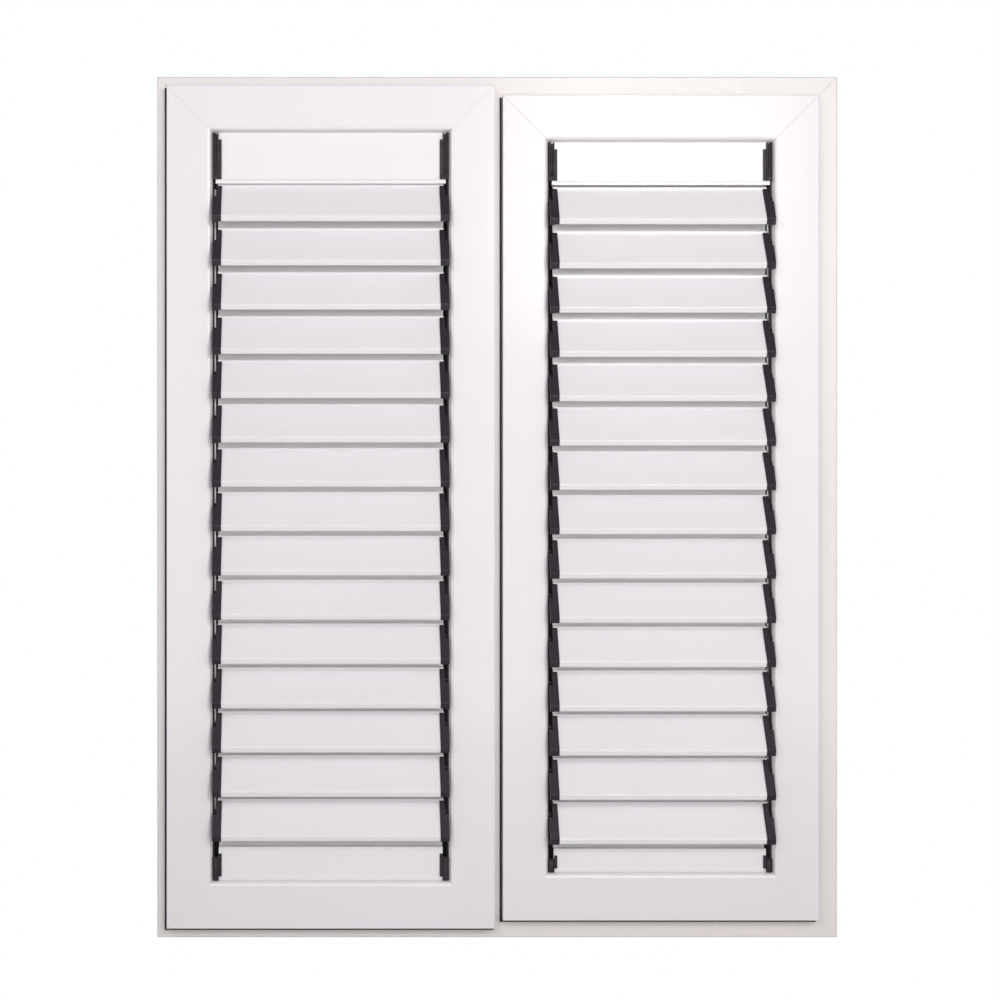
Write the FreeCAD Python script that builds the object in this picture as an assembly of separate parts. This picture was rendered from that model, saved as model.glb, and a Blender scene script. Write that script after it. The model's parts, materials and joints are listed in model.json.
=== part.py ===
import FreeCAD, Part
import math
import os

# Two-leaf louvred shutter. X runs along the width, Y from front to back, Z up.
# The origin is the middle of the frame's underside. All lengths are in mm.

# Outer frame
FRAME_WIDTH = 1185.0
FRAME_HEIGHT = 1500.0
FRAME_DEPTH = 65.0
FRAME_FACE = 39.0          # width of the frame's front face
FRAME_LIP = 24.0           # how far the rear stop reaches into the opening
LIP_DEPTH = 17.5
FRAME_WALL = 3.0
FIXING_HOLE_R = 5.1
FIXING_SPACING = 1000.0

# Leaves
LEAF_PROUD = 24.0          # leaf front ahead of the frame front
FLANGE_DEPTH = 21.0        # thickness of the flange that laps the frame
BODY_GAP = 5.0             # air between a leaf's body and the frame
STOP_GAP = 3.0             # air between a leaf's back and the rear stop
STILE_FACE = 79.0
TOP_RAIL_FACE = 80.0
BOTTOM_RAIL_FACE = 82.0
BEAD = 8.0                 # radius of the rounded inner edge
CHAMFER = 1.0              # on the outer front edge
LEAF_WALL = 3.0

# Louvres: heights and depths are from the pivot
LOUVRE_COUNT = 15
PITCH = 76.2
BLADE_INSET = 9.2          # blade end to the opening's side
PIVOT_BEHIND_LEAF_FRONT = 12.0
FACE_TOP = 16.5
FACE_FORWARD = 1.1
KINK_FORWARD = 32.9
KINK_DROP = 35.5
KINK_LAND = 2.0            # small upright land at the kink
EDGE_FORWARD = 30.3
EDGE_DROP = 45.6
BLADE_THICK = 8.0
BLADE_WALL = 1.8
SHEET = 2.0                # thickness of the lip, hook and return flange
LIP_FORWARD = 2.2
LIP_RISE = 6.3             # from the top of the face to the top of the lip
HOOK_FRONT = 8.0
HOOK_TOP = 37.5
RETURN_END = 4.0           # how far ahead of the pivot the return flange stops
RETURN_RISE = 2.6

# End clips
CLIP_SKIN = 1.2            # thickness ahead of the blade
CLIP_SOLE = 0.6            # thickness below the blade
CLIP_TOP = 19.8
CLIP_TOP_FORWARD = 2.9
CLIP_EAR = (0.8, 6.8)      # ear, plate and front flange, from the opening's side
CLIP_PLATE = (6.8, 9.0)
CLIP_FLANGE = (9.0, 16.2)
EAR_TOP = -3.0
EAR_DEPTH = 10.0
PLATE_DEPTH = 14.0
FLANGE_CUT = 6.0           # depth of the slab that the blade cuts down to the flange
PIN_R = 2.5
CRANK_R = 2.0
CRANK_BACK = 16.0
CRANK_UP = 8.0
ARM_R = 4.0                # half the width of the crank arm
RUNNING = 0.06             # radial clearance of a running fit
SINK = 0.2                 # how far a pin stops short of the far side of its hole

# Gallery strips and link bar
GALLERY = (0.2, 2.0)
GALLERY_FRONT = 4.0
GALLERY_BACK = 45.0
GALLERY_FLANGE = 16.0
GALLERY_END = 0.5
LUG_R = 6.0
LUG_ROOM = 0.6
LINK_BAR = (2.6, 5.0)
LINK_HALF_WIDTH = 4.5
LINK_END = 8.0             # link bar beyond its last crank pin

# Closing panels
PANEL_INSET = 6.0
PANEL_BEHIND_LEAF_FRONT = 9.0
PANEL_THICK = 4.0
PANEL_GAP = 0.3
PANEL_LIP = 7.4
LIP_PROUD = 8.3
LIP_THICK = 8.0            # thin enough to hang in front of the top louvre
LIP_FOOT = 2.7             # height of that thin part
SHELF_DEPTH = 12.0
UPSTAND = 14.0

# Holders at the ends of the closing panels
HOLDER_OUTER = (0.8, 10.6)
HOLDER_INNER = (10.6, 15.8)
HOLDER_PROUD = 6.0
HOLDER_STEP = 2.4          # inner flange behind the channel's front
HOLDER_RIB = 2.0           # the channel's side walls
HOLDER_SOLE = 8.0          # solid foot below the channel's groove
TOP_HOLDER_END = 1.5       # top holder to the opening's top
TOP_FLANGE_END = 13.0
BOTTOM_HOLDER_END = 0.8
BOTTOM_HOLDER_DROP = 17.0  # channel's top below the bottom panel's top
BOTTOM_FLANGE_DROP = 11.5
BOTTOM_FLANGE_START = 7.3

# Hinges
HINGE_HEIGHTS = (180.0, 750.0, 1320.0)
KNUCKLE_R = 3.6
KNUCKLE_LENGTH = 30.0
KNUCKLE_GAP = 0.3
KNUCKLE_ROOM = 0.9
HINGE_PIN_R = 2.0
HINGE_INSET = 4.0          # hinge axis to the leaf's outer edge
NECK_HALF = 1.5
NOTCH_END = 2.0
NOTCH_BACK = 8.0
PLATE_THICK = 2.5
PLATE_REACH = 22.0         # right bracket plate behind the frame's front

PAST = 1.0                 # how far a cutting shape runs past what it cuts

FRAME_FRONT = -FRAME_DEPTH / 2
FRAME_BACK = FRAME_DEPTH / 2
LEAF_FRONT = FRAME_FRONT - LEAF_PROUD
LEAF_BACK = FRAME_BACK - LIP_DEPTH - STOP_GAP
FLANGE_BACK = LEAF_FRONT + FLANGE_DEPTH
PIVOT_Y = LEAF_FRONT + PIVOT_BEHIND_LEAF_FRONT
HINGE_Y = FLANGE_BACK - HINGE_INSET
PANEL_FACE = LEAF_FRONT + PANEL_BEHIND_LEAF_FRONT
PANEL_BACK = PANEL_FACE + PANEL_THICK
BLADE_LEAN = math.atan2(KINK_FORWARD - FACE_FORWARD, FACE_TOP + KINK_DROP)
CLIP_LOW = -EDGE_DROP - CLIP_SOLE

# Side -1 hangs on the left jamb, +1 on the right jamb. x and z are the leaf's outer edges.
LEFT = {
    "name": "left", "side": -1, "x": (-574.5, -6.5), "z": (20.5, 1480.5),
    "first_pivot": 1287.9, "top_lip": 1310.3, "bottom_panel_top": 160.7,
}
RIGHT = {
    "name": "right", "side": 1, "x": (7.5, 554.5), "z": (34.5, 1463.5),
    "first_pivot": 1282.6, "top_lip": 1307.8, "bottom_panel_top": 157.4,
}


def box(x_ends, y_ends, z_ends):
    """A box from its two limits along each axis, in either order."""
    limits = [sorted(ends) for ends in (x_ends, y_ends, z_ends)]
    low = FreeCAD.Vector(*[low for low, high in limits])
    return Part.makeBox(*[high - low for low, high in limits], low)


def rod(radius, x_ends, y, z):
    """A cylinder along X."""
    x0, x1 = sorted(x_ends)
    start = FreeCAD.Vector(x0, y, z)
    return Part.makeCylinder(radius, x1 - x0, start, FreeCAD.Vector(1, 0, 0))


def post(radius, x, y, z0, z1):
    """A cylinder along Z."""
    start = FreeCAD.Vector(x, y, z0)
    return Part.makeCylinder(radius, z1 - z0, start, FreeCAD.Vector(0, 0, 1))


def along_x(points, x_ends):
    """A prism along X from an outline of (y, z) points."""
    x0, x1 = sorted(x_ends)
    corners = [FreeCAD.Vector(x0, y, z) for y, z in points]
    outline = Part.makePolygon(corners + corners[:1])
    return Part.Face(outline).extrude(FreeCAD.Vector(x1 - x0, 0, 0))


def across(wall, inward, limits):
    """Two distances from an opening's side, as positions along X."""
    return wall + inward * limits[0], wall + inward * limits[1]


def flat_prism(points, y0, y1):
    """A prism along Y from an outline of (x, z) points."""
    corners = [FreeCAD.Vector(x, y0, z) for x, z in points]
    outline = Part.makePolygon(corners + corners[:1])
    return Part.Face(outline).extrude(FreeCAD.Vector(0, y1 - y0, 0))


def save(name, *solids):
    """Writes one node. Pieces that are not joined stay separate solids."""
    shape = solids[0] if len(solids) == 1 else Part.makeCompound(list(solids))
    shape.exportStep("parts/" + name + ".step")


def mitred(section, start, end, inward, reach):
    """Runs a (depth from outer edge, y) section between two outer corners and mitres both ends.

    inward points from the outer edge towards the opening; reach is the member's full width.
    """
    run = end.sub(start)
    along = FreeCAD.Vector(run).normalize()
    bar = section(start, inward).extrude(run)
    corners = [start, start + (along + inward) * reach, end + (inward - along) * reach, end]
    keep = flat_prism([(p.x, p.z) for p in corners], FRAME_FRONT - PAST, FRAME_BACK + PAST)
    return bar.common(keep)


def section_face(outline, chamber):
    """Makes a section function: an outline with one hollow chamber, both in (depth, y)."""
    def build(start, inward):
        def at(depth, y):
            return start + inward * depth + FreeCAD.Vector(0, y, 0)

        edges = []
        for kind, points in outline:
            corners = [at(depth, y) for depth, y in points]
            if kind == "arc":
                edges.append(Part.Arc(*corners).toShape())
            else:
                edges.extend(Part.makePolygon(corners).Edges)
        hollow = [at(depth, y) for depth, y in chamber]
        inside = Part.Face(Part.makePolygon(hollow + hollow[:1]))
        return Part.Face(Part.Wire(Part.__sortEdges__(edges))).cut(inside)
    return build


def rectangle(u0, u1, y0, y1):
    return [(u0, y0), (u1, y0), (u1, y1), (u0, y1)]


def frame_section():
    stop_front = FRAME_BACK - LIP_DEPTH
    outline = [
        (0, FRAME_FRONT), (FRAME_FACE, FRAME_FRONT), (FRAME_FACE, stop_front),
        (FRAME_FACE + FRAME_LIP, stop_front), (FRAME_FACE + FRAME_LIP, FRAME_BACK),
        (0, FRAME_BACK), (0, FRAME_FRONT),
    ]
    chamber = rectangle(
        FRAME_WALL, FRAME_FACE - FRAME_WALL, FRAME_FRONT + FRAME_WALL, FRAME_BACK - FRAME_WALL)
    return section_face([("line", outline)], chamber)


def flange_width(leaf):
    """How far a leaf's flange reaches outside its body."""
    margin = FRAME_WIDTH / 2 - leaf["side"] * leaf["x"][leaf["side"] > 0]
    return FRAME_FACE + BODY_GAP - margin


def leaf_section(leaf, face):
    flange = flange_width(leaf)
    corner = face - BEAD
    middle = BEAD * math.sqrt(0.5)
    outline = [
        ("line", [
            (face, LEAF_FRONT + BEAD), (face, LEAF_BACK), (flange, LEAF_BACK),
            (flange, FLANGE_BACK), (0, FLANGE_BACK), (0, LEAF_FRONT + CHAMFER), (CHAMFER, LEAF_FRONT),
            (corner, LEAF_FRONT),
        ]),
        ("arc", [
            (corner, LEAF_FRONT),
            (corner + middle, LEAF_FRONT + BEAD - middle),
            (face, LEAF_FRONT + BEAD),
        ]),
    ]
    chamber = rectangle(
        flange + LEAF_WALL, corner + LEAF_WALL, LEAF_FRONT + BEAD / 2, LEAF_BACK - LEAF_WALL)
    return section_face(outline, chamber)


def outer_corners(x0, x1, z0, z1):
    """The four outer corners: bottom left, bottom right, top right, top left."""
    return [FreeCAD.Vector(x, 0, z) for x, z in ((x0, z0), (x1, z0), (x1, z1), (x0, z1))]


RIGHTWARD = FreeCAD.Vector(1, 0, 0)
LEFTWARD = FreeCAD.Vector(-1, 0, 0)
UPWARD = FreeCAD.Vector(0, 0, 1)
DOWNWARD = FreeCAD.Vector(0, 0, -1)


def make_frame():
    half = FRAME_WIDTH / 2
    low_left, low_right, high_right, high_left = outer_corners(-half, half, 0, FRAME_HEIGHT)
    section = frame_section()
    reach = FRAME_FACE + FRAME_LIP
    sill = mitred(section, low_left, low_right, UPWARD, reach)
    head = mitred(section, high_left, high_right, DOWNWARD, reach)
    left_jamb = mitred(section, low_left, high_left, RIGHTWARD, reach)
    right_jamb = mitred(section, low_right, high_right, LEFTWARD, reach)
    for z in fixing_heights():
        hole = rod(FIXING_HOLE_R, (-half - PAST, half + PAST), 0, z)
        left_jamb = left_jamb.cut(hole)
        right_jamb = right_jamb.cut(hole)
    save("frame_sill", sill)
    save("frame_head", head)
    save("frame_left_jamb", left_jamb)
    save("frame_right_jamb", right_jamb)
    save("frame_mullion", make_mullion(head, sill))


def fixing_heights():
    middle = FRAME_HEIGHT / 2
    return [middle - FIXING_SPACING / 2, middle + FIXING_SPACING / 2]


def make_mullion(head, sill):
    """The centre post: a wall between the leaves with a rear stop on both sides."""
    left = LEFT["x"][1] - flange_width(LEFT) + BODY_GAP
    right = RIGHT["x"][0] + flange_width(RIGHT) - BODY_GAP
    height = (FRAME_FACE, FRAME_HEIGHT - FRAME_FACE)
    wall = box((left, right), (FRAME_FRONT, FRAME_BACK), height)
    stops = box((left - FRAME_LIP, right + FRAME_LIP), (FRAME_BACK - LIP_DEPTH, FRAME_BACK), height)
    chamber = box(
        (left + FRAME_WALL, right - FRAME_WALL), (FRAME_FRONT + FRAME_WALL, FRAME_BACK - FRAME_WALL),
        (height[0] - PAST, height[1] + PAST))
    return wall.fuse(stops).cut(chamber).cut(head).cut(sill).removeSplitter()


def opening(leaf):
    """The leaf's clear opening as x0, x1, z0, z1."""
    x0, x1 = leaf["x"]
    z0, z1 = leaf["z"]
    return x0 + STILE_FACE, x1 - STILE_FACE, z0 + BOTTOM_RAIL_FACE, z1 - TOP_RAIL_FACE


def hinge_x(leaf):
    outer = leaf["x"][leaf["side"] > 0]
    return outer - leaf["side"] * HINGE_INSET


def hinge_notch(leaf, z):
    """Room in the stile's outer edge for one hinge barrel."""
    x = hinge_x(leaf)
    inner = x - leaf["side"] * (KNUCKLE_R + KNUCKLE_ROOM)
    outer = x + leaf["side"] * (HINGE_INSET + PAST)
    half = 1.5 * KNUCKLE_LENGTH + NOTCH_END
    front = HINGE_Y - KNUCKLE_R - KNUCKLE_ROOM
    return box((inner, outer), (front, FLANGE_BACK + NOTCH_BACK), (z - half, z + half))


def make_leaf_members(leaf):
    x0, x1 = leaf["x"]
    z0, z1 = leaf["z"]
    low_left, low_right, high_right, high_left = outer_corners(x0, x1, z0, z1)
    # the mitres run from the outer corners to the opening's corners
    corner_x0, corner_x1, corner_z0, corner_z1 = opening(leaf)

    def member(start, end, inward, face, inner_start, inner_end):
        bar = leaf_section(leaf, face)(start, inward).extrude(end.sub(start))
        points = [(start.x, start.z), inner_start, inner_end, (end.x, end.z)]
        return bar.common(flat_prism(points, LEAF_FRONT - PAST, LEAF_BACK + PAST))

    bottom_left = (corner_x0, corner_z0)
    bottom_right = (corner_x1, corner_z0)
    top_right = (corner_x1, corner_z1)
    top_left = (corner_x0, corner_z1)
    stile_left = member(low_left, high_left, RIGHTWARD, STILE_FACE, bottom_left, top_left)
    stile_right = member(low_right, high_right, LEFTWARD, STILE_FACE, bottom_right, top_right)
    hinge_stile, meeting_stile = stile_left, stile_right
    if leaf["side"] > 0:
        hinge_stile, meeting_stile = stile_right, stile_left
    for z in HINGE_HEIGHTS:
        hinge_stile = hinge_stile.cut(hinge_notch(leaf, z))
    name = leaf["name"]
    save(name + "_leaf_bottom_rail", member(
        low_left, low_right, UPWARD, BOTTOM_RAIL_FACE, bottom_left, bottom_right))
    save(name + "_leaf_top_rail", member(
        high_left, high_right, DOWNWARD, TOP_RAIL_FACE, top_left, top_right))
    save(name + "_leaf_hinge_stile", hinge_stile)
    save(name + "_leaf_meeting_stile", meeting_stile)


def make_hinges(leaf):
    """Barrel hinges hidden behind the leaf's flange: brackets with their pins, and leaf knuckles."""
    x = hinge_x(leaf)
    half = KNUCKLE_LENGTH / 2
    brackets = []
    knuckles = []
    for z in HINGE_HEIGHTS:
        pin = post(HINGE_PIN_R, x, HINGE_Y, z - 3 * half, z + 3 * half)
        for low in (z - 3 * half, z + half + KNUCKLE_GAP):
            high = low + KNUCKLE_LENGTH - KNUCKLE_GAP
            brackets.append(bracket(leaf, low, high).cut(pin))
        brackets.append(pin)
        knuckle = post(KNUCKLE_R, x, HINGE_Y, z - half, z + half)
        front = HINGE_Y - KNUCKLE_R - KNUCKLE_ROOM
        neck = box((x - NECK_HALF, x + NECK_HALF), (front, HINGE_Y), (z - half, z + half))
        bore = post(HINGE_PIN_R + RUNNING, x, HINGE_Y, z - half - PAST, z + half + PAST)
        knuckles.append(knuckle.fuse(neck).cut(bore).removeSplitter())
    save(leaf["name"] + "_hinge_brackets", *brackets)
    save(leaf["name"] + "_leaf_hinge_knuckles", *knuckles)


def bracket(leaf, low, high):
    """One frame-side knuckle: on the frame's front at the left, round the jamb's inner edge at the right."""
    x = hinge_x(leaf)
    barrel = post(KNUCKLE_R, x, HINGE_Y, low, high)
    jamb_inner = leaf["side"] * (FRAME_WIDTH / 2 - FRAME_FACE)
    if leaf["side"] > 0:
        plate = box((jamb_inner - PLATE_THICK, jamb_inner), (HINGE_Y, FRAME_FRONT + PLATE_REACH), (low, high))
        return barrel.fuse(plate).removeSplitter()
    plate_front = FRAME_FRONT - PLATE_THICK
    plate = box((x - HINGE_PIN_R, jamb_inner - PLATE_THICK), (plate_front, FRAME_FRONT), (low, high))
    neck = box((x - HINGE_PIN_R, x + HINGE_PIN_R), (HINGE_Y, plate_front + RUNNING), (low, high))
    return barrel.fuse(neck).fuse(plate).removeSplitter()


def blade_outline():
    """The blade's section about its pivot: lip, leaning face, kink, return flange and top hook."""
    back_y = BLADE_THICK * math.cos(BLADE_LEAN)
    back_z = -BLADE_THICK * math.sin(BLADE_LEAN)
    lip_top = FACE_TOP + LIP_RISE
    root_y = back_y - KINK_FORWARD + SHEET
    root_rise = RETURN_RISE * (EDGE_FORWARD + root_y) / (EDGE_FORWARD - RETURN_END)
    return [
        (-FACE_FORWARD, FACE_TOP), (-LIP_FORWARD, FACE_TOP + 1), (-LIP_FORWARD, lip_top),
        (HOOK_FRONT, lip_top), (HOOK_FRONT, HOOK_TOP), (HOOK_FRONT + SHEET, HOOK_TOP),
        (HOOK_FRONT + SHEET, lip_top - SHEET), (back_y - FACE_FORWARD, FACE_TOP + back_z),
        (back_y - KINK_FORWARD, back_z - KINK_DROP), (root_y, root_rise + SHEET - EDGE_DROP),
        (-RETURN_END, RETURN_RISE + SHEET - EDGE_DROP), (-RETURN_END, RETURN_RISE - EDGE_DROP),
        (-EDGE_FORWARD, -EDGE_DROP), (-KINK_FORWARD, -KINK_DROP - KINK_LAND), (-KINK_FORWARD, -KINK_DROP),
    ]


def blade_chamber():
    """The hollow inside the blade's leaning body."""
    near = BLADE_WALL
    far = BLADE_THICK - BLADE_WALL
    ends = []
    for depth, z in ((near, FACE_TOP - 2), (far, FACE_TOP - 4), (far, -KINK_DROP), (near, -KINK_DROP)):
        y = -FACE_FORWARD - (FACE_TOP - z) * math.tan(BLADE_LEAN) + depth / math.cos(BLADE_LEAN)
        ends.append((y, z))
    return ends


def shifted(points, z):
    return [(PIVOT_Y + y, z + up) for y, up in points]


def clip_outline(top, depth):
    """A slab behind the clip's front, from a height down to the clip's foot, about the pivot."""
    kink = -KINK_FORWARD - CLIP_SKIN
    slope = (-CLIP_TOP_FORWARD - kink) / (CLIP_TOP + KINK_DROP)
    front = [
        (-CLIP_TOP_FORWARD - (CLIP_TOP - top) * slope, top), (kink, -KINK_DROP),
        (kink, -KINK_DROP - KINK_LAND), (-EDGE_FORWARD - CLIP_SKIN, CLIP_LOW),
    ]
    return front + [(y + depth, z) for y, z in reversed(front)]


def make_clip(z, wall, inward, blade, with_crank):
    """One end clip. wall is the opening's side and inward is +1 or -1 along X."""
    plate_x = across(wall, inward, CLIP_PLATE)
    plate = along_x(shifted(clip_outline(CLIP_TOP, PLATE_DEPTH), z), plate_x)
    plate = plate.fuse(rod(LUG_R, plate_x, PIVOT_Y, z))
    slab = along_x(shifted(clip_outline(CLIP_TOP, FLANGE_CUT), z), across(wall, inward, CLIP_FLANGE))
    # the blade cuts the slab in two; the part in front of it is the flange
    flange = min(slab.cut(blade).Solids, key=lambda solid: solid.BoundBox.YMin)
    ear = along_x(shifted(clip_outline(EAR_TOP, EAR_DEPTH), z), across(wall, inward, CLIP_EAR))
    lug_room = rod(LUG_R + LUG_ROOM, across(wall, inward, (0, GALLERY[1] + RUNNING)), PIVOT_Y, z)
    pin = rod(PIN_R, across(wall, inward, (GALLERY[0] + SINK, CLIP_PLATE[0])), PIVOT_Y, z)
    clip = plate.fuse([flange, ear.cut(lug_room), pin])
    if with_crank:
        crank_pin_x = across(wall, inward, (LINK_BAR[0] - SINK, CLIP_PLATE[0]))
        clip = clip.fuse(crank_arm(z, plate_x))
        clip = clip.fuse(rod(CRANK_R, crank_pin_x, PIVOT_Y + CRANK_BACK, z + CRANK_UP))
    return clip.removeSplitter()


def crank_arm(z, plate_x):
    """A flat arm from the pivot to the crank pin."""
    reach = math.hypot(CRANK_BACK, CRANK_UP)
    side_y = -ARM_R * CRANK_UP / reach
    side_z = ARM_R * CRANK_BACK / reach
    arm = along_x(shifted([
        (side_y, side_z), (-side_y, -side_z),
        (CRANK_BACK - side_y, CRANK_UP - side_z), (CRANK_BACK + side_y, CRANK_UP + side_z),
    ], z), plate_x)
    return arm.fuse(rod(ARM_R, plate_x, PIVOT_Y + CRANK_BACK, z + CRANK_UP))


def pivot_heights(leaf):
    return [leaf["first_pivot"] - index * PITCH for index in range(LOUVRE_COUNT)]


def make_louvres(leaf):
    x0, x1, _, _ = opening(leaf)
    for number, z in enumerate(pivot_heights(leaf), start=1):
        solid = along_x(shifted(blade_outline(), z), (x0 + BLADE_INSET, x1 - BLADE_INSET))
        hollow = along_x(shifted(blade_chamber(), z), (x0, x1))
        left_clip = make_clip(z, x0, 1, solid, leaf["side"] < 0)
        right_clip = make_clip(z, x1, -1, solid, leaf["side"] > 0)
        save("%s_louvre_%02d" % (leaf["name"], number), solid.cut(hollow), left_clip, right_clip)


def make_galleries(leaf):
    """A strip on each side of the opening that carries the louvres' pivots."""
    x0, x1, z0, z1 = opening(leaf)
    height = (z0 + GALLERY_END, z1 - GALLERY_END)
    back = PIVOT_Y + GALLERY_BACK
    strips = []
    for wall, inward in ((x0, 1), (x1, -1)):
        strip_x = across(wall, inward, GALLERY)
        hole_x = across(wall, inward, (GALLERY[0] - PAST, GALLERY[1] + PAST))
        strip = box(strip_x, (PIVOT_Y + GALLERY_FRONT, back), height)
        flange_x = across(wall, inward, (GALLERY[0], GALLERY_FLANGE))
        strip = strip.fuse(box(flange_x, (back - SHEET, back), height))
        for z in pivot_heights(leaf):
            strip = strip.fuse(rod(LUG_R, strip_x, PIVOT_Y, z))
        for z in pivot_heights(leaf):
            strip = strip.cut(rod(PIN_R + RUNNING, hole_x, PIVOT_Y, z))
        strips.append(strip.removeSplitter())
    save(leaf["name"] + "_leaf_galleries", *strips)


def make_link_bar(leaf):
    """The flat bar that joins every louvre's crank pin."""
    x0, x1, _, _ = opening(leaf)
    wall, inward = (x0, 1) if leaf["side"] < 0 else (x1, -1)
    y = PIVOT_Y + CRANK_BACK
    heights = [z + CRANK_UP for z in pivot_heights(leaf)]
    bar = box(
        across(wall, inward, LINK_BAR), (y - LINK_HALF_WIDTH, y + LINK_HALF_WIDTH),
        (heights[-1] - LINK_END, heights[0] + LINK_END))
    for z in heights:
        bar = bar.cut(rod(CRANK_R + RUNNING, across(wall, inward, (0, LINK_BAR[1] + PAST)), y, z))
    save(leaf["name"] + "_leaf_link_bar", bar)


def make_closing_panels(leaf):
    x0, x1, z0, z1 = opening(leaf)
    lip = leaf["top_lip"]
    lip_front = PANEL_FACE - LIP_PROUD
    lip_back = lip_front + LIP_THICK
    top = along_x([
        (PANEL_FACE, z1 - PANEL_GAP), (PANEL_FACE, lip + PANEL_LIP), (lip_front, lip + PANEL_LIP),
        (lip_front, lip), (lip_back, lip), (lip_back, lip + LIP_FOOT), (PANEL_BACK, lip + LIP_FOOT),
        (PANEL_BACK, z1 - PANEL_GAP),
    ], (x0 + PANEL_INSET, x1 - PANEL_INSET))
    ledge = leaf["bottom_panel_top"]
    shelf_back = PANEL_BACK + SHELF_DEPTH
    inset = HOLDER_OUTER[1] + SINK
    bottom = along_x([
        (PANEL_FACE, z0 + PANEL_GAP), (PANEL_FACE, ledge), (shelf_back - SHEET, ledge),
        (shelf_back - SHEET, ledge + UPSTAND), (shelf_back, ledge + UPSTAND), (shelf_back, ledge - SHEET),
        (PANEL_BACK, ledge - SHEET), (PANEL_BACK, z0 + PANEL_GAP),
    ], (x0 + inset, x1 - inset))
    save(leaf["name"] + "_top_closing_panel", top)
    save(leaf["name"] + "_bottom_closing_panel", bottom)


def make_holders(leaf):
    _, _, z0, z1 = opening(leaf)
    low = leaf["top_lip"] + PANEL_LIP + PANEL_GAP
    ledge = leaf["bottom_panel_top"]
    save(leaf["name"] + "_top_panel_holders", *holder_pair(
        leaf, PANEL_FACE, (low, z1 - TOP_HOLDER_END), (low, z1 - TOP_FLANGE_END)))
    save(leaf["name"] + "_bottom_panel_holders", *holder_pair(
        leaf, PANEL_BACK, (z0 + BOTTOM_HOLDER_END, ledge - BOTTOM_HOLDER_DROP),
        (z0 + BOTTOM_FLANGE_START, ledge - BOTTOM_FLANGE_DROP)))


def holder_pair(leaf, channel_back, channel_z, flange_z):
    """Two black holders: a grooved outer channel and an inner flange over the panel's face."""
    x0, x1, _, _ = opening(leaf)
    front = PANEL_FACE - HOLDER_PROUD
    joint_z = (flange_z[0], min(flange_z[1], channel_z[1]))
    groove_z = (channel_z[0] + HOLDER_SOLE, channel_z[1] - HOLDER_RIB)
    pair = []
    for wall, inward in ((x0, 1), (x1, -1)):
        groove_x = across(wall, inward, (HOLDER_OUTER[0] + HOLDER_RIB, HOLDER_OUTER[1] - HOLDER_RIB))
        joint_x = across(wall, inward, (HOLDER_OUTER[1] - PAST, HOLDER_INNER[0] + PAST))
        channel = box(across(wall, inward, HOLDER_OUTER), (front, channel_back), channel_z)
        channel = channel.cut(box(groove_x, (front - PAST, front + HOLDER_STEP), groove_z))
        flange = box(across(wall, inward, HOLDER_INNER), (front + HOLDER_STEP, PANEL_FACE), flange_z)
        joint = box(joint_x, (front + HOLDER_STEP, PANEL_FACE), joint_z)
        pair.append(channel.fuse([joint, flange]).removeSplitter())
    return pair


def main():
    os.makedirs("parts", exist_ok=True)
    make_frame()
    for leaf in (LEFT, RIGHT):
        make_leaf_members(leaf)
        make_hinges(leaf)
        make_galleries(leaf)
        make_link_bar(leaf)
        make_closing_panels(leaf)
        make_holders(leaf)
        make_louvres(leaf)


main()
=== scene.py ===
import bmesh
import bpy
import json
import math
from mathutils import Matrix, Vector


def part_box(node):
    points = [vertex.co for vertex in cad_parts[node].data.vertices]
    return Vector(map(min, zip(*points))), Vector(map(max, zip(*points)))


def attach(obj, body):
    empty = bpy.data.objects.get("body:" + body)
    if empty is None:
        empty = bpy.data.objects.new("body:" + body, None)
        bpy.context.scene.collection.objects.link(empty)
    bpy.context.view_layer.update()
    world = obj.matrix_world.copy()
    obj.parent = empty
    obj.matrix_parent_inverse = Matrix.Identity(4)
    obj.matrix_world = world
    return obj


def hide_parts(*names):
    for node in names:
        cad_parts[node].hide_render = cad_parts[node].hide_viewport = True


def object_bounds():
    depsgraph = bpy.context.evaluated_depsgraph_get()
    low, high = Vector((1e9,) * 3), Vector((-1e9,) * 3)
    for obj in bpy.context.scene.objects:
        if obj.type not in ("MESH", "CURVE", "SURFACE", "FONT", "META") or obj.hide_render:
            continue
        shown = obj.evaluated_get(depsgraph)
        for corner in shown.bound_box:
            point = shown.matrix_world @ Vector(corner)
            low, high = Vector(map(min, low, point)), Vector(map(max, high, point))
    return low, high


# A two-leaf louvred shutter in white PVC, dressed over its CAD frame. Lengths are in metres; MM turns
# millimetres into metres. X is the width, Y runs from the louvred front to the back, Z is up.
MM = 0.001

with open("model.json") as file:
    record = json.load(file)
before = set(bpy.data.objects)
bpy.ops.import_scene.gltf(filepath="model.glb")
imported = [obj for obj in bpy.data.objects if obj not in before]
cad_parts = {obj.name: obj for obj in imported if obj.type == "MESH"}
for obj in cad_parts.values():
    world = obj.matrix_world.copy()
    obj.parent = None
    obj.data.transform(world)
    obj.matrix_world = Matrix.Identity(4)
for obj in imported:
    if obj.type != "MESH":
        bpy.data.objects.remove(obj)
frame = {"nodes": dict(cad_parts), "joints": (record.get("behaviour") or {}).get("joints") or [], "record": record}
cad_low, cad_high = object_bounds()

LEAVES = ("left", "right")
SIDE = {"left": -1, "right": 1}           # the jamb that each leaf hangs on


# ---------------------------------------------------------------- what the frame says

def corner_pair(*nodes):
    """The lowest and highest corners of several CAD nodes together."""
    boxes = [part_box(node) for node in nodes]
    low = Vector([min(box[0][axis] for box in boxes) for axis in range(3)])
    high = Vector([max(box[1][axis] for box in boxes) for axis in range(3)])
    return low, high


def rail_face(leaf, rail):
    """How wide a rail is, from the leaf's outer edge to the opening."""
    low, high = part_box("%s_leaf_%s_rail" % (leaf, rail))
    return high.z - low.z


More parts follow.
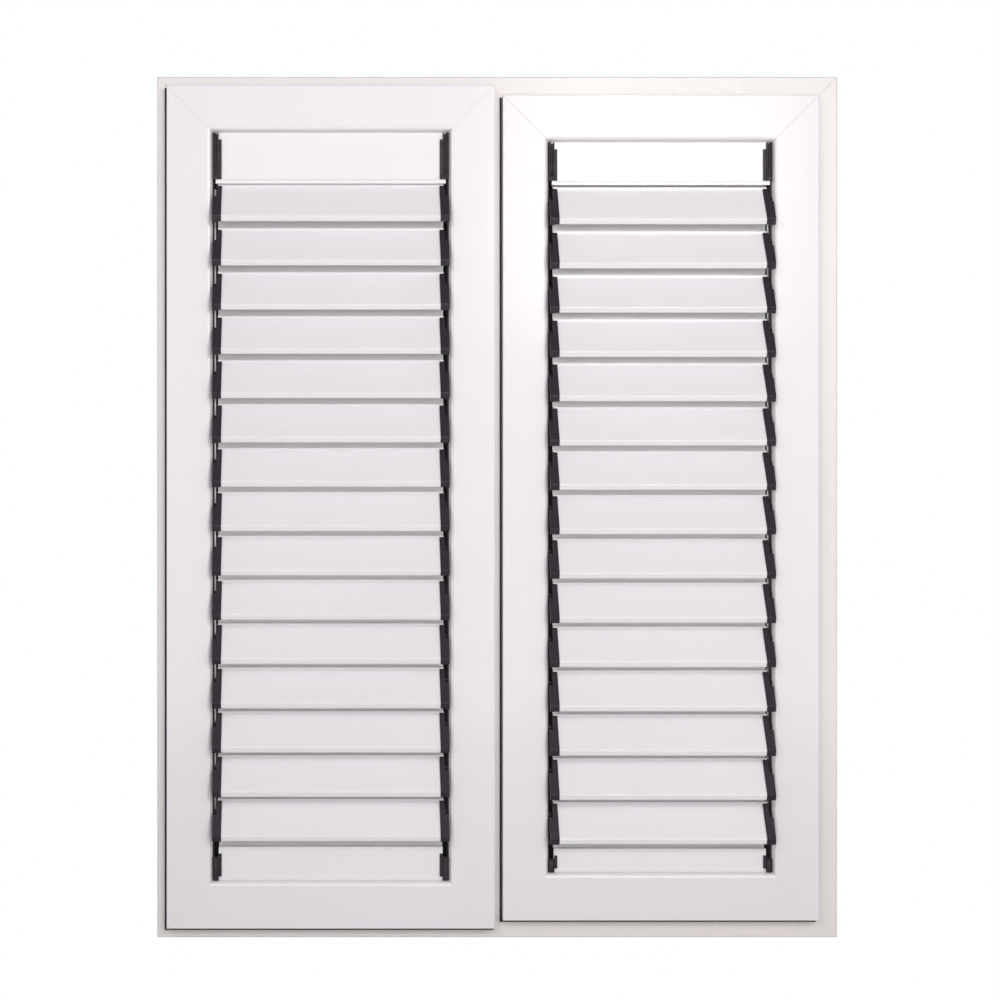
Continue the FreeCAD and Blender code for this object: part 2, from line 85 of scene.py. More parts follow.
def leaf_facts(leaf):
    """A leaf's outline and opening, in its own plane."""
    stiles = ["%s_leaf_%s_stile" % (leaf, name) for name in ("hinge", "meeting")]
    low, high = corner_pair(*stiles)
    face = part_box(stiles[1])[1].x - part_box(stiles[1])[0].x
    return {
        "x": (low.x, high.x),
        "z": (low.z, high.z),
        "face": face,
        "opening_x": (low.x + face, high.x - face),
        "opening_z": (low.z + rail_face(leaf, "bottom"), high.z - rail_face(leaf, "top")),
    }


def pivots(leaf):
    """Each louvre's pivot as (y, z), read from the joints."""
    found = {}
    for joint in frame["joints"]:
        if joint["child"].startswith(leaf + "_louvre_"):
            found[int(joint["child"][-2:])] = (joint["pos_m"][1], joint["pos_m"][2])
    return found


def joint_place(name):
    """Where a joint's axis is."""
    return [Vector(joint["pos_m"]) for joint in frame["joints"] if joint["name"] == name][0]


FACTS = {leaf: leaf_facts(leaf) for leaf in LEAVES}
LEAF_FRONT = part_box("left_leaf_top_rail")[0].y
LEAF_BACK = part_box("left_leaf_top_rail")[1].y
FRAME_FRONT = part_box("frame_head")[0].y
FRAME_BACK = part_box("frame_head")[1].y
FRAME_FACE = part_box("frame_mullion")[0].z - cad_low.z
STOP_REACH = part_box("frame_sill")[1].z - cad_low.z - FRAME_FACE
STOP_FRONT = LEAF_BACK + 3 * MM           # the leaves close with 3 mm of air in front of the stop
HINGE_AXIS = {leaf: joint_place(leaf + "_leaf_hinge") for leaf in LEAVES}
FLANGE_BACK = HINGE_AXIS["left"].y + 4 * MM
PANEL_FACE = LEAF_FRONT + 9 * MM
PANEL_THICK = 4 * MM
SHEET = 2 * MM
RIGHTWARD = Vector((1, 0, 0))
LEFTWARD = Vector((-1, 0, 0))
UPWARD = Vector((0, 0, 1))
DOWNWARD = Vector((0, 0, -1))


# ---------------------------------------------------------------- mesh helpers

HOLD = 0.25 * MM            # an extra point this far past each arc keeps the long flats looking flat


def rounded(corners, steps=5):
    """An outline with rounded corners. Each corner is (u, v, radius); a radius of 0 keeps it sharp."""
    points = []
    for index, (u, v, radius) in enumerate(corners):
        here = Vector((u, v))
        if radius == 0:
            points.append(here)
            continue
        before = (Vector(corners[index - 1][:2]) - here).normalized()
        after = (Vector(corners[(index + 1) % len(corners)][:2]) - here).normalized()
        half = before.angle(after) / 2
        centre = here + (before + after).normalized() * (radius / math.sin(half))
        start = here + before * (radius / math.tan(half)) - centre
        end = here + after * (radius / math.tan(half)) - centre
        turn = math.atan2(start.x * end.y - start.y * end.x, start.dot(end))
        points.append(centre + start + before * HOLD)
        for step in range(steps + 1):
            points.append(centre + Matrix.Rotation(turn * step / steps, 2) @ start)
        points.append(centre + end + after * HOLD)
    return points


def outward_normals(points):
    """The outward direction at each point of a closed outline."""
    area = sum(p.x * q.y - q.x * p.y for p, q in zip(points, points[1:] + points[:1]))
    sign = 1 if area > 0 else -1
    normals = []
    for index, here in enumerate(points):
        before = here - points[index - 1]
        after = points[(index + 1) % len(points)] - here
        normal = Vector((before.y, -before.x)).normalized() + Vector((after.y, -after.x)).normalized()
        normals.append(sign * normal.normalized())
    return normals


def skin_rings(bm, rings):
    """Joins rings of points into one closed body and caps its two ends."""
    made = [[bm.verts.new(point) for point in ring] for ring in rings]
    count = len(made[0])
    for first, second in zip(made, made[1:]):
        for index in range(count):
            after = (index + 1) % count
            bm.faces.new((first[index], first[after], second[after], second[index]))
    bm.faces.new(made[0][::-1])
    bm.faces.new(made[-1])
    return made


def prism_x(bm, outline, x0, x1):
    """A prism along X from an outline of (y, z) points."""
    return skin_rings(bm, [[Vector((x, p[0], p[1])) for p in outline] for x in (x0, x1)])


def prism_z(bm, outline, z0, z1):
    """A prism along Z from an outline of (x, y) points."""
    return skin_rings(bm, [[Vector((p[0], p[1], z)) for p in outline] for z in (z0, z1)])


def disc(centre, radius, count=24):
    """A circle's points about a (u, v) centre."""
    turn = 2 * math.pi / count
    return [Vector((centre[0] + radius * math.cos(i * turn), centre[1] + radius * math.sin(i * turn)))
            for i in range(count)]


def finish_mesh(name, bm, crease=32):
    """Turns a bmesh into a mesh, smooth across shallow edges and crisp across sharp ones."""
    bmesh.ops.recalc_face_normals(bm, faces=bm.faces)
    for face in bm.faces:
        face.smooth = True
    for edge in bm.edges:
        edge.smooth = len(edge.link_faces) == 2 and edge.calc_face_angle(math.pi) < math.radians(crease)
    mesh = bpy.data.meshes.new(name)
    bm.to_mesh(mesh)
    bm.free()
    return mesh


def piece(name, mesh, material, body, slot, *nodes):
    """Adds one piece to the scene, rides it on its body and lets it stand for CAD nodes."""
    mesh.materials.clear()
    mesh.materials.append(material)
    made = bpy.data.objects.new(name, mesh)
    bpy.context.scene.collection.objects.link(made)
    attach(made, body)
    if nodes:
        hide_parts(*nodes)
    return made


def soften(made, width, segments=2, angle=35):
    """Rounds a piece's sharp edges by a small width."""
    bevel = made.modifiers.new("Edges", "BEVEL")
    bevel.width = width
    bevel.segments = segments
    bevel.limit_method = "ANGLE"
    bevel.angle_limit = math.radians(angle)
    bevel.harden_normals = False


# ---------------------------------------------------------------- materials

def new_material(name):
    """A material with its nodes, its links and its main shader."""
    material = bpy.data.materials.new(name)
    material.use_nodes = True
    nodes = material.node_tree.nodes
    return material, nodes, material.node_tree.links, nodes["Principled BSDF"]


def noise(nodes, links, place, scale, detail=3, stretch=(1, 1, 1), rough=0.5):
    """A noise texture in the object's own space, stretched along one axis if asked."""
    mapping = nodes.new("ShaderNodeMapping")
    mapping.inputs["Scale"].default_value = stretch
    texture = nodes.new("ShaderNodeTexNoise")
    texture.inputs["Scale"].default_value = scale
    texture.inputs["Detail"].default_value = detail
    texture.inputs["Roughness"].default_value = rough
    links.new(place, mapping.inputs["Vector"])
    links.new(mapping.outputs["Vector"], texture.inputs["Vector"])
    return texture.outputs["Fac"]


def spread(nodes, links, value, low, high, out_low, out_high):
    """Maps one range of a value onto another, held at both ends."""
    remap = nodes.new("ShaderNodeMapRange")
    remap.inputs["From Min"].default_value = low
    remap.inputs["From Max"].default_value = high
    remap.inputs["To Min"].default_value = out_low
    remap.inputs["To Max"].default_value = out_high
    links.new(value, remap.inputs["Value"])
    return remap.outputs["Result"]


def tinted(nodes, links, share, first, second):
    """Mixes two colours by a share. Each is a plain colour or another node's output."""
    mix = nodes.new("ShaderNodeMix")
    mix.data_type = "RGBA"
    for socket, colour in ((mix.inputs["A"], first), (mix.inputs["B"], second)):
        if isinstance(colour, tuple):
            socket.default_value = (*colour, 1)
        else:
            links.new(colour, socket)
    links.new(share, mix.inputs["Factor"])
    return mix.outputs["Result"]


def bumped(nodes, links, height, distance, strength=1.0, under=None):
    """A bump from a height, laid over another bump if one is given."""
    bump = nodes.new("ShaderNodeBump")
    bump.inputs["Distance"].default_value = distance
    bump.inputs["Strength"].default_value = strength
    links.new(height, bump.inputs["Height"])
    if under is not None:
        links.new(under, bump.inputs["Normal"])
    return bump.outputs["Normal"]


def attribute(nodes, name):
    """Reads a value stored on the mesh."""
    reader = nodes.new("ShaderNodeAttribute")
    reader.attribute_name = name
    return reader.outputs["Fac"]


STREAKS = {"x": (1.2, 330.0, 330.0), "z": (330.0, 330.0, 1.2)}     # die lines, stretched along one axis
GRAZE_BROWN = (0.48, 0.42, 0.39)
# grey for dirt in the weld seams and for the painted shade on the frame's outer front edge
SEAM_DIRT_AND_EDGE_SHADE_GREY = (0.25, 0.22, 0.2)
NYLON_BLACK = (0.028, 0.022, 0.030)
NYLON_SHADE = (0.019, 0.015, 0.021)
NYLON_DUST = (0.22, 0.2, 0.19)
SPOT_BROWN = (0.2, 0.16, 0.13)


def white_pvc(name, colour, shaded, along, roughness):
    """Satin white PVC extrusion: faint die lines along its length, cloudy tint, fine dust, dirty weld seams and
    painted shade along the frame's outer front edge.
    """
    material, nodes, links, shader = new_material(name)
    place = nodes.new("ShaderNodeTexCoord").outputs["Object"]
    clouds = noise(nodes, links, place, 3.5, 4)
    base = tinted(nodes, links, spread(nodes, links, clouds, 0.3, 0.7, 0.0, 1.0), colour, shaded)
    specks = noise(nodes, links, place, 900.0, 1)
    dusty = tuple(0.86 * value for value in colour)
    base = tinted(nodes, links, spread(nodes, links, specks, 0.66, 0.74, 0.0, 0.35), base, dusty)
    scuffs = noise(nodes, links, place, 60.0, 2, (1.0, 3.0, 7.0), 0.7)
    base = tinted(nodes, links, spread(nodes, links, scuffs, 0.71, 0.76, 0.0, 0.30), base, GRAZE_BROWN)
    # read from the mesh: real dirt in the weld seams and painted shade along the frame's outer front edge
    seam_dirt_and_edge_shade = attribute(nodes, "seam_dirt_and_edge_shade")
    uneven = spread(nodes, links, noise(nodes, links, place, 45.0, 3), 0.3, 0.7, 0.7, 1.0)
    dirt_and_shade = nodes.new("ShaderNodeMath")
    dirt_and_shade.operation = "MULTIPLY"
    links.new(seam_dirt_and_edge_shade, dirt_and_shade.inputs[0])
    links.new(uneven, dirt_and_shade.inputs[1])
    base = tinted(nodes, links, dirt_and_shade.outputs[0], base, SEAM_DIRT_AND_EDGE_SHADE_GREY)
    links.new(base, shader.inputs["Base Color"])
    lines = noise(nodes, links, place, 1.0, 3, STREAKS[along], 0.6)
    satin = spread(nodes, links, clouds, 0.3, 0.7, roughness - 0.03, roughness + 0.05)
    links.new(satin, shader.inputs["Roughness"])
    ripple = bumped(nodes, links, lines, 0.05 * MM)
    links.new(bumped(nodes, links, specks, 0.02 * MM, 0.4, ripple), shader.inputs["Normal"])
    return material


def black_nylon():
    """Moulded black nylon with a fine grain and pale dust on its upward faces."""
    material, nodes, links, shader = new_material("black_nylon")
    place = nodes.new("ShaderNodeTexCoord").outputs["Object"]
    grain = noise(nodes, links, place, 1400.0, 2)
    clouds = noise(nodes, links, place, 60.0, 3)
    base = tinted(nodes, links, spread(nodes, links, clouds, 0.3, 0.7, 0.0, 1.0), NYLON_BLACK, NYLON_SHADE)
    facing = nodes.new("ShaderNodeSeparateXYZ")
    links.new(nodes.new("ShaderNodeNewGeometry").outputs["Normal"], facing.inputs[0])
    lying = nodes.new("ShaderNodeMath")
    lying.operation = "MULTIPLY"
    links.new(spread(nodes, links, facing.outputs["Z"], 0.5, 1.0, 0.0, 0.5), lying.inputs[0])
    links.new(spread(nodes, links, clouds, 0.35, 0.65, 0.3, 1.0), lying.inputs[1])
    base = tinted(nodes, links, lying.outputs[0], base, NYLON_DUST)
    links.new(base, shader.inputs["Base Color"])
    links.new(spread(nodes, links, clouds, 0.3, 0.7, 0.38, 0.55), shader.inputs["Roughness"])
    shader.inputs["Specular IOR Level"].default_value = 0.3
    links.new(bumped(nodes, links, grain, 0.04 * MM, 0.6), shader.inputs["Normal"])
    return material


def zinc_steel(name, colour):
    """Zinc-plated strip: rolled lines, cloudy passivation and a few dull spots."""
    material, nodes, links, shader = new_material(name)
    place = nodes.new("ShaderNodeTexCoord").outputs["Object"]
    clouds = noise(nodes, links, place, 90.0, 4)
    worn = tuple(0.62 * value for value in colour)
    base = tinted(nodes, links, spread(nodes, links, clouds, 0.35, 0.7, 0.0, 1.0), colour, worn)
    spots = noise(nodes, links, place, 420.0, 2)
    base = tinted(nodes, links, spread(nodes, links, spots, 0.68, 0.75, 0.0, 0.7), base, SPOT_BROWN)
    links.new(base, shader.inputs["Base Color"])
    shader.inputs["Metallic"].default_value = 1.0
    lines = noise(nodes, links, place, 1.0, 3, (900.0, 900.0, 12.0))
    links.new(spread(nodes, links, lines, 0.3, 0.7, 0.28, 0.5), shader.inputs["Roughness"])
    links.new(bumped(nodes, links, lines, 0.02 * MM), shader.inputs["Normal"])
    return material


LEAF_WHITE = (0.800, 0.775, 0.806)
LEAF_SHADE = (0.780, 0.752, 0.782)
FRAME_WHITE = (0.795, 0.760, 0.742)
FRAME_SHADE = (0.775, 0.738, 0.720)
BLADE_WHITE = (0.815, 0.800, 0.825)
BLADE_SHADE = (0.795, 0.778, 0.805)
MULLION_WHITE = (0.93, 0.90, 0.885)       # brighter than the frame, to offset shade from the leaf beside it
MULLION_SHADE = (0.91, 0.88, 0.86)
LINK_ZINC = (0.45, 0.45, 0.46)
HINGE_ZINC = (0.62, 0.61, 0.6)
LEAF_ROUGHNESS = 0.17
FRAME_ROUGHNESS = 0.24
BLADE_ROUGHNESS = 0.16

MATERIALS = {
    "leaf_x": white_pvc("leaf_pvc_level", LEAF_WHITE, LEAF_SHADE, "x", LEAF_ROUGHNESS),
    "leaf_z": white_pvc("leaf_pvc_upright", LEAF_WHITE, LEAF_SHADE, "z", LEAF_ROUGHNESS),
    "frame_x": white_pvc("frame_pvc_level", FRAME_WHITE, FRAME_SHADE, "x", FRAME_ROUGHNESS),
    "frame_z": white_pvc("frame_pvc_upright", FRAME_WHITE, FRAME_SHADE, "z", FRAME_ROUGHNESS),
    "mullion": white_pvc("mullion_pvc", MULLION_WHITE, MULLION_SHADE, "z", FRAME_ROUGHNESS),
    "blade": white_pvc("blade_pvc", BLADE_WHITE, BLADE_SHADE, "x", BLADE_ROUGHNESS),
    "black": black_nylon(),
    "link": zinc_steel("link_zinc", LINK_ZINC),
    "hinge": zinc_steel("hinge_zinc", HINGE_ZINC),
}


# ---------------------------------------------------------------- mitred profiles

SEAM_WIDTH = 0.9 * MM       # half the width of the groove cut over each corner weld
SEAM_SHOULDER = 1.3 * MM    # where the surface is flat again
SEAM_DEPTH = 0.30 * MM
MITRE_GAP = 0.03 * MM
SEAM_DIRT = 0.13


def mitred_bar(outline, start, along, inward, length, slopes, painted_edge_shade):
    """A bar whose ends are cut on the mitre, with the weld groove along both front edges.

    The outline is in (depth from the outer edge, y). slopes says how far each end steps in for each metre of
    depth. painted_edge_shade(point) gives how much painted shade a point of the outline gets.
    """
    bm = bmesh.new()
    dirt_and_shade = bm.verts.layers.float.new("seam_dirt_and_edge_shade")
    normals = outward_normals(outline)
    stations = (
        (0, MITRE_GAP, True), (0, SEAM_WIDTH, False), (0, SEAM_SHOULDER, False),
        (1, SEAM_SHOULDER, False), (1, SEAM_WIDTH, False), (1, MITRE_GAP, True),
    )
    rings = []
    for end, margin, sunk in stations:
        ring = []
        for point, normal in zip(outline, normals):
            drop = SEAM_DEPTH if sunk and normal.y < -0.3 else 0.0
            depth = point.x - normal.x * drop
            run = depth * slopes[0] + margin if end == 0 else length - depth * slopes[1] - margin
            ring.append(start + along * run + inward * depth + Vector((0, point.y - normal.y * drop, 0)))
        rings.append(ring)
    made = skin_rings(bm, rings)
    for ring, (_, _, sunk) in zip(made, stations):
        for vertex, point, normal in zip(ring, outline, normals):
            seam = SEAM_DIRT if sunk and normal.y < -0.3 else 0.0
            # the larger of the painted edge shade and the weld groove's dirt
            vertex[dirt_and_shade] = max(painted_edge_shade(point), seam)
    return bm


def leaf_outline(face, flange):
    """A leaf member's section: lapping flange, body, and a bead that falls away towards the opening."""
    bead = 8 * MM
    return rounded([
        (0, LEAF_FRONT, 1.1 * MM),
        (face - bead, LEAF_FRONT, 4 * MM),
        (face - 3.6 * MM, LEAF_FRONT + 1.25 * MM, 3.2 * MM),
        (face, LEAF_FRONT + bead, 1.5 * MM),
        (face, LEAF_BACK, 1.5 * MM),
        (flange, LEAF_BACK, 1.5 * MM),
        (flange, FLANGE_BACK, 0.6 * MM),
        (0, FLANGE_BACK, 0.8 * MM),
    ])


def leaf_grime(point):
    """The leaves are clean apart from their corner welds."""
    return 0.0


def make_leaf(leaf):
    """The leaf's two rails and two stiles, mitred where they meet."""
    facts = FACTS[leaf]
    body = leaf + "_leaf"
    x0, x1 = facts["x"]
    z0, z1 = facts["z"]
    face = facts["face"]
    outer = abs(facts["x"][SIDE[leaf] > 0])
    body_gap = 5 * MM
    flange = outer - (cad_high.x - FRAME_FACE) + body_gap
    rails = {rail: rail_face(leaf, rail) for rail in ("bottom", "top")}
    for rail, z, inward in (("bottom", z0, UPWARD), ("top", z1, DOWNWARD)):
        outline = leaf_outline(rails[rail], flange)
        slope = face / rails[rail]
        bm = mitred_bar(outline, Vector((x0, 0, z)), RIGHTWARD, inward, x1 - x0, (slope, slope), leaf_grime)
        mesh = finish_mesh(leaf + "_rail", bm)
        piece("%s_%s_rail_profile" % (leaf, rail), mesh, MATERIALS["leaf_x"], body, "leaf_pvc",
              "%s_leaf_%s_rail" % (leaf, rail))
    slopes = (rails["bottom"] / face, rails["top"] / face)
    for side, x, inward in ((-1, x0, RIGHTWARD), (1, x1, LEFTWARD)):
        stile = "hinge" if side == SIDE[leaf] else "meeting"
        start = Vector((x, 0, z0))
        bm = mitred_bar(leaf_outline(face, flange), start, UPWARD, inward, z1 - z0, slopes, leaf_grime)
        mesh = finish_mesh(leaf + "_stile", bm)
        made = piece("%s_%s_stile_profile" % (leaf, stile), mesh, MATERIALS["leaf_z"], body, "leaf_pvc",
                     "%s_leaf_%s_stile" % (leaf, stile))
        if stile == "hinge":
            cut_hinge_notches(made, leaf)


def hinge_middles(leaf):
    """The height of each hinge, from the gaps between the knuckles' corners."""
    knuckles = frame["nodes"][leaf + "_leaf_hinge_knuckles"]
    bands = []
    for z in sorted(vertex.co.z for vertex in knuckles.data.vertices):
        if not bands or z - bands[-1][1] > 100 * MM:
            bands.append([z, z])
        bands[-1][1] = z
    return [(low + high) / 2 for low, high in bands]


def cut_hinge_notches(made, leaf):
    """Cuts room for each hinge barrel in the stile's outer edge."""
    side = SIDE[leaf]
    axis = HINGE_AXIS[leaf]
    room = 4.5 * MM             # knuckle radius and the air round it
    half = 47 * MM
    back = FLANGE_BACK + 8 * MM
    inner = axis.x - side * room
    outer = axis.x + side * 5 * MM
    bm = bmesh.new()
    for middle in hinge_middles(leaf):
        outline = [(inner, axis.y - room), (outer, axis.y - room), (outer, back), (inner, back)]
        prism_z(bm, outline, middle - half, middle + half)
    cut_away(made, bm)


def cut_away(made, bm):
    """Cuts a bmesh's bodies out of a piece."""
    cutter = bpy.data.objects.new("cutter", finish_mesh("cutter", bm))
    bpy.context.scene.collection.objects.link(cutter)
    cut = made.modifiers.new("Cut", "BOOLEAN")
    cut.operation = "DIFFERENCE"
    cut.solver = "EXACT"
    cut.object = cutter
    bake_modifiers(made)
    bpy.data.objects.remove(cutter)


def bake_modifiers(made):
    """Applies a piece's modifiers to its mesh."""
    bpy.context.view_layer.update()
    graph = bpy.context.evaluated_depsgraph_get()
    finished = made.evaluated_get(graph)
    mesh = bpy.data.meshes.new_from_object(finished, preserve_all_data_layers=True, depsgraph=graph)
    made.modifiers.clear()
    made.data = mesh


def frame_outline():
    """The frame's section: front face, rebate and rear stop, in (depth from the outer edge, y)."""
    reach = FRAME_FACE + STOP_REACH
    return rounded([
        (0, FRAME_FRONT, 1.5 * MM), (FRAME_FACE, FRAME_FRONT, 0.8 * MM), (FRAME_FACE, STOP_FRONT, 0.8 * MM),
        (reach, STOP_FRONT, 1.0 * MM), (reach, FRAME_BACK, 1.0 * MM), (0, FRAME_BACK, 1.0 * MM),
    ])


def frame_edge_shade(point):
    """Painted shade: a thin grey line along the frame's outer front edge, where its rounded edge turns away from
    the light.
    """
    return 0.5 if point.x < 1.4 * MM and point.y < FRAME_FRONT + 3 * MM else 0.0


def make_frame():
    """The outer frame's four mitred members and its centre post."""
    low, high = cad_low, cad_high
    width, height = high.x - low.x, high.z - low.z
    members = (
        ("frame_sill", (low.x, 0, low.z), RIGHTWARD, UPWARD, width, "frame_x"),
        ("frame_head", (low.x, 0, high.z), RIGHTWARD, DOWNWARD, width, "frame_x"),
        ("frame_left_jamb", (low.x, 0, low.z), UPWARD, RIGHTWARD, height, "frame_z"),
        ("frame_right_jamb", (high.x, 0, low.z), UPWARD, LEFTWARD, height, "frame_z"),
    )
    for node, start, along, inward, length, skin in members:
        bm = mitred_bar(frame_outline(), Vector(start), along, inward, length, (1, 1), frame_edge_shade)
        made = piece(node + "_profile", finish_mesh(node, bm), MATERIALS[skin], "frame", "frame_pvc", node)
        if "jamb" in node:
            drill_fixings(made, node.replace("frame_", "") + "_fixings")
    make_mullion()


def drill_fixings(made, mount_name):
    """Drills the fixing holes that a mount says."""
    mount = [mount for mount in frame["record"]["mounts"] if mount["name"] == mount_name][0]
    x, y, middle = mount["pos_m"]
    radius = mount["dims"]["hole_r_mm"] * MM
    half = mount["dims"]["spacing_y_mm"] * MM / 2
    reach = 2 * FRAME_FACE
    bm = bmesh.new()
    for z in (middle - half, middle + half):
        prism_x(bm, disc((y, z), radius, 32), x - reach, x + reach)
    cut_away(made, bm)


def make_mullion():
    """The centre post: its web butts on the head and sill, and its stop ends where their stops begin."""
    low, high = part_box("frame_mullion")
    left, right = low.x + STOP_REACH, high.x - STOP_REACH
    web = bmesh.new()
    web_back = STOP_FRONT + 1.0 * MM      # the web runs a little into the stop, so that the two join
    prism_z(web, rounded([
        (left, FRAME_FRONT, 0.8 * MM), (right, FRAME_FRONT, 0.8 * MM),
        (right, web_back, 0.3 * MM), (left, web_back, 0.3 * MM)]), low.z + MITRE_GAP, high.z - MITRE_GAP)
    stop = bmesh.new()
    inset = STOP_REACH + MITRE_GAP
    prism_z(stop, rounded([
        (low.x, STOP_FRONT, 1.0 * MM), (high.x, STOP_FRONT, 1.0 * MM),
        (high.x, FRAME_BACK, 1.0 * MM), (low.x, FRAME_BACK, 1.0 * MM)]), low.z + inset, high.z - inset)
    piece("frame_mullion_profile", united("mullion", [web, stop]), MATERIALS["mullion"], "frame", "frame_pvc",
          "frame_mullion")


SHADOW_STRIP_SIDE = {"left": 5.2 * MM, "right": 3.4 * MM}    # painted shadow: how far the dark strip shows past a leaf's left edge
SHADOW_STRIP_FOOT = 7.2 * MM        # and past its bottom edge, where the leaf's shadow falls
SHADOW_STRIP_THICK = 2.5 * MM
SHADOW_STRIP_BASE_R = 0.2 * MM      # the dark strip's edges: against the frame, outside, and next to the leaf
SHADOW_STRIP_OUTER_R = 1.0 * MM
SHADOW_STRIP_INNER_R = 0.6 * MM


def make_shadow_strips(leaf):
    """Painted shadow: thin black strips on the frame along the left and bottom edges of a closed leaf.

    They stand for a dark line that may be a seal or a shadow. They are dark pieces put where the leaf casts
    its shadow on the frame. The CAD frame has no such pieces.
    """
    x0, x1 = FACTS[leaf]["x"]
    z0, z1 = FACTS[leaf]["z"]
    crown = FRAME_FRONT - SHADOW_STRIP_THICK
    base = FRAME_FRONT - MITRE_GAP
    runs = (
        ("side", x0 - SHADOW_STRIP_SIDE[leaf], x0, z0 - SHADOW_STRIP_FOOT, z1, "mullion" if SIDE[leaf] > 0 else "left_jamb"),
        ("foot", x0 + MITRE_GAP, x1, z0 - SHADOW_STRIP_FOOT, z0, "sill"),
    )
    for place, left, right, bottom, top, member in runs:
        bm = bmesh.new()
        if place == "side":
            outline = rounded([
                (left, base, SHADOW_STRIP_BASE_R), (left, crown, SHADOW_STRIP_OUTER_R),
                (right, crown, SHADOW_STRIP_INNER_R), (right, base, SHADOW_STRIP_BASE_R)])
            prism_z(bm, outline, bottom, top)
        else:
            outline = rounded([
                (base, bottom, SHADOW_STRIP_BASE_R), (crown, bottom, SHADOW_STRIP_OUTER_R),
                (crown, top, SHADOW_STRIP_INNER_R), (base, top, SHADOW_STRIP_BASE_R)])
            prism_x(bm, outline, left, right)
        # painted shadow: black strips where the leaf's shadow falls on the frame
        piece("%s_%s_seal" % (leaf, place), finish_mesh("shadow_strip", bm), MATERIALS["black"], "frame",
              "black_plastic", "frame_" + member)


# ---------------------------------------------------------------- louvres

INSET = 9.2 * MM            # blade end to the opening's side


def millimetres(points):
    """Points given in millimetres, in metres."""
    return [tuple(MM * value for value in point) for point in points]


def blade_outline():
    """A blade's section about its pivot: front lip, leaning face, kink, return flange and top hook."""
    return rounded(millimetres([
        (-1.1, 16.6, 0.3), (-2.2, 17.5, 0.3), (-2.2, 22.8, 0.9), (8, 22.8, 0.4), (8, 37.5, 0.4),
        (10, 37.5, 0.4), (10, 20.8, 0.8), (5.7, 12.3, 1.5), (-26.1, -39.7, 1.5), (-24.1, -43.0, 0.5),
        (-4, -41, 0.3), (-4, -43, 0.3), (-30.3, -45.6, 0.9), (-32.9, -36.7, 3.4),
    ]))


# A clip's lengths are in millimetres. Points are (y, z) about the pivot, from the top down for the front and
# from the bottom up for the side against the blade. NEAR and FAR are distances from the opening's side.
CLIP_FRONT = [(-2.9, 19.8), (-34.08, -35.5), (-34.08, -37.5), (-31.5, -46.2)]
BLADE_SIDE = [(-29.0, -46.2), (-32.89, -37.5), (-32.89, -35.5), (-1.11, 16.5), (-2.21, 17.5), (-2.21, 19.8)]
EAR_NEAR, EAR_FAR = 0.8, 7.0
PLATE_NEAR, PLATE_FAR = 6.8, 9.0
HOOD_NEAR, HOOD_FAR = 8.8, 16.2
PIVOT_NEAR = 0.4
CRANK_PIN_NEAR = 2.4
PLATE_DEPTH = 14
EAR_DEPTH = 10
EAR_TOP = -3.0
CRANK = (16, 8)             # crank pin
ARM_R = 4
BOSS_R = 6.0
PIVOT_R = 2.5
CRANK_PIN_R = 2.0


def clip_shells(wall, inward, with_crank):
    """One clip about its pivot, as closed shells that overlap. wall is the opening's side."""
    shells = []

    def shell(points, near, far, radius=0.4):
        outline = rounded(millimetres([(*point, radius) for point in points]), 2)
        bm = bmesh.new()
        prism_x(bm, outline, *sorted((wall + inward * near * MM, wall + inward * far * MM)))
        shells.append(bm)

    def rod(centre, radius, near, far):
        bm = bmesh.new()
        outline = disc((centre[0] * MM, centre[1] * MM), radius * MM)
        prism_x(bm, outline, *sorted((wall + inward * near * MM, wall + inward * far * MM)))
        shells.append(bm)

    def behind(front, depth):
        return front + [(y + depth, z) for y, z in reversed(front)]

    top, kink = CLIP_FRONT[:2]
    slope = (top[0] - kink[0]) / (top[1] - kink[1])
    ear_front = (top[0] - (top[1] - EAR_TOP) * slope, EAR_TOP)
    shell(behind(CLIP_FRONT, PLATE_DEPTH), PLATE_NEAR, PLATE_FAR)
    rod((0, 0), BOSS_R, PLATE_NEAR, PLATE_FAR)
    shell(CLIP_FRONT + BLADE_SIDE, HOOD_NEAR, HOOD_FAR, 0.15)
    shell(behind([ear_front] + CLIP_FRONT[1:], EAR_DEPTH), EAR_NEAR, EAR_FAR)
    rod((0, 0), PIVOT_R, PIVOT_NEAR, EAR_FAR)
    if with_crank:
        reach = math.hypot(*CRANK)
        side = (-ARM_R * CRANK[1] / reach, ARM_R * CRANK[0] / reach)
        shell([side, (CRANK[0] + side[0], CRANK[1] + side[1]), (CRANK[0] - side[0], CRANK[1] - side[1]),
               (-side[0], -side[1])], PLATE_NEAR, PLATE_FAR, 0.1)
        rod(CRANK, ARM_R, PLATE_NEAR, PLATE_FAR)
        rod(CRANK, CRANK_PIN_R, CRANK_PIN_NEAR, EAR_FAR)
    return shells


def united(name, shells):
    """Joins closed shells into one solid mesh."""
    objects = []
    for number, bm in enumerate(shells):
        made = bpy.data.objects.new("shell_%d" % number, finish_mesh("shell", bm))
        bpy.context.scene.collection.objects.link(made)
        objects.append(made)
    first = objects[0]
    for other in objects[1:]:
        join = first.modifiers.new("Join", "BOOLEAN")
        join.operation = "UNION"
        join.solver = "EXACT"
        join.object = other
    soften(first, 0.25 * MM, 2)
    bake_modifiers(first)
    mesh = first.data
    mesh.name = name
    mesh.validate()
    for made in objects:
        bpy.data.objects.remove(made)
    return mesh


def moved(mesh, offset):
    """A copy of a mesh, shifted."""
    copy = mesh.copy()
    copy.transform(Matrix.Translation(offset))
    return copy


